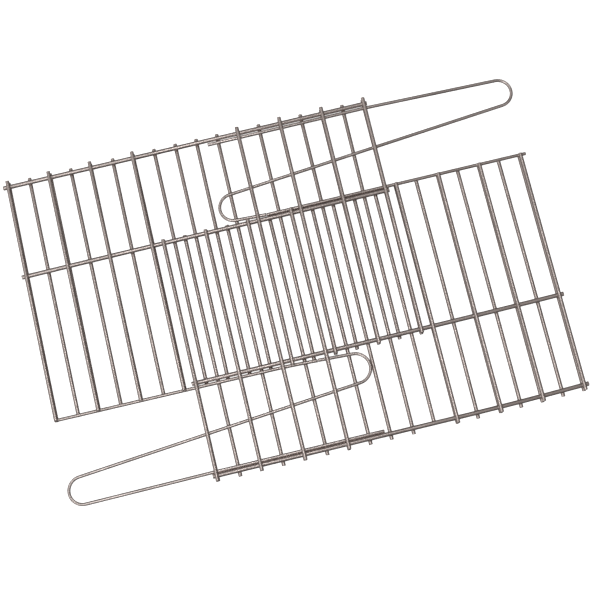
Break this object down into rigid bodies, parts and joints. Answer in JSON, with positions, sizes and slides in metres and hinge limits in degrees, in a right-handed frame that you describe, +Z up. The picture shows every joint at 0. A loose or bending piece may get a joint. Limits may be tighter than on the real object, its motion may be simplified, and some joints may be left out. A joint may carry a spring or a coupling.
{
  "type": "grill grate",
  "caption": "Flat welded wire grill grate in two interlocked halves, each with a long wire loop handle, that slide together to make the grate narrower.",
  "frame": {"origin": "centre of the resting face, on the half-turn axis that carries one half onto the other, with the grate at its widest", "axes": "+X along the rods, +Y across them towards the left half's outer rod, +Z up; the lower cross wires rest on Z = 0"},
  "size_m": [0.4838, 0.3154, 0.0113],
  "materials": {
    "rod": "bright drawn steel wire, plated",
    "edge_rod": "bright drawn steel wire, plated",
    "handle_wire": "bright drawn steel wire, plated, bent",
    "lower_wire": "bright drawn steel wire, plated",
    "upper_wire": "bright drawn steel wire, plated"
  },
  "bodies": {
    "left_grid": {"left_outer_rod": "rod", "left_slide_rod": "rod", "left_edge_rod": "edge_rod", "left_handle": "handle_wire", "left_lower_wire_01": "lower_wire", "left_lower_wire_02": "lower_wire", "left_lower_wire_03": "lower_wire", "left_lower_wire_04": "lower_wire", "left_lower_wire_05": "lower_wire", "left_lower_wire_06": "lower_wire", "left_lower_wire_07": "lower_wire", "left_lower_wire_08": "lower_wire", "left_lower_wire_09": "lower_wire", "left_lower_wire_10": "lower_wire", "left_lower_wire_11": "lower_wire", "left_lower_wire_12": "lower_wire", "left_lower_wire_13": "lower_wire", "left_lower_wire_14": "lower_wire", "left_lower_wire_15": "lower_wire", "left_lower_wire_16": "lower_wire", "left_lower_wire_17": "lower_wire", "left_lower_wire_18": "lower_wire", "left_upper_wire_01": "upper_wire", "left_upper_wire_03": "upper_wire", "left_upper_wire_05": "upper_wire", "left_upper_wire_07": "upper_wire", "left_upper_wire_12": "upper_wire", "left_upper_wire_14": "upper_wire", "left_upper_wire_16": "upper_wire", "left_upper_wire_18": "upper_wire"},
    "right_grid": {"right_outer_rod": "rod", "right_slide_rod": "rod", "right_edge_rod": "edge_rod", "right_handle": "handle_wire", "right_lower_wire_01": "lower_wire", "right_lower_wire_02": "lower_wire", "right_lower_wire_03": "lower_wire", "right_lower_wire_04": "lower_wire", "right_lower_wire_05": "lower_wire", "right_lower_wire_06": "lower_wire", "right_lower_wire_07": "lower_wire", "right_lower_wire_08": "lower_wire", "right_lower_wire_09": "lower_wire", "right_lower_wire_10": "lower_wire", "right_lower_wire_11": "lower_wire", "right_lower_wire_12": "lower_wire", "right_lower_wire_13": "lower_wire", "right_lower_wire_14": "lower_wire", "right_lower_wire_15": "lower_wire", "right_lower_wire_16": "lower_wire", "right_lower_wire_17": "lower_wire", "right_lower_wire_18": "lower_wire", "right_upper_wire_01": "upper_wire", "right_upper_wire_03": "upper_wire", "right_upper_wire_05": "upper_wire", "right_upper_wire_07": "upper_wire", "right_upper_wire_12": "upper_wire", "right_upper_wire_14": "upper_wire", "right_upper_wire_16": "upper_wire", "right_upper_wire_18": "upper_wire"}
  },
  "joints": [
    {"name": "width_slide", "type": "slide", "parent": "left_grid", "child": "right_grid", "axis": [0, 1, 0], "range_m": [0, 0.026]}
  ]
}
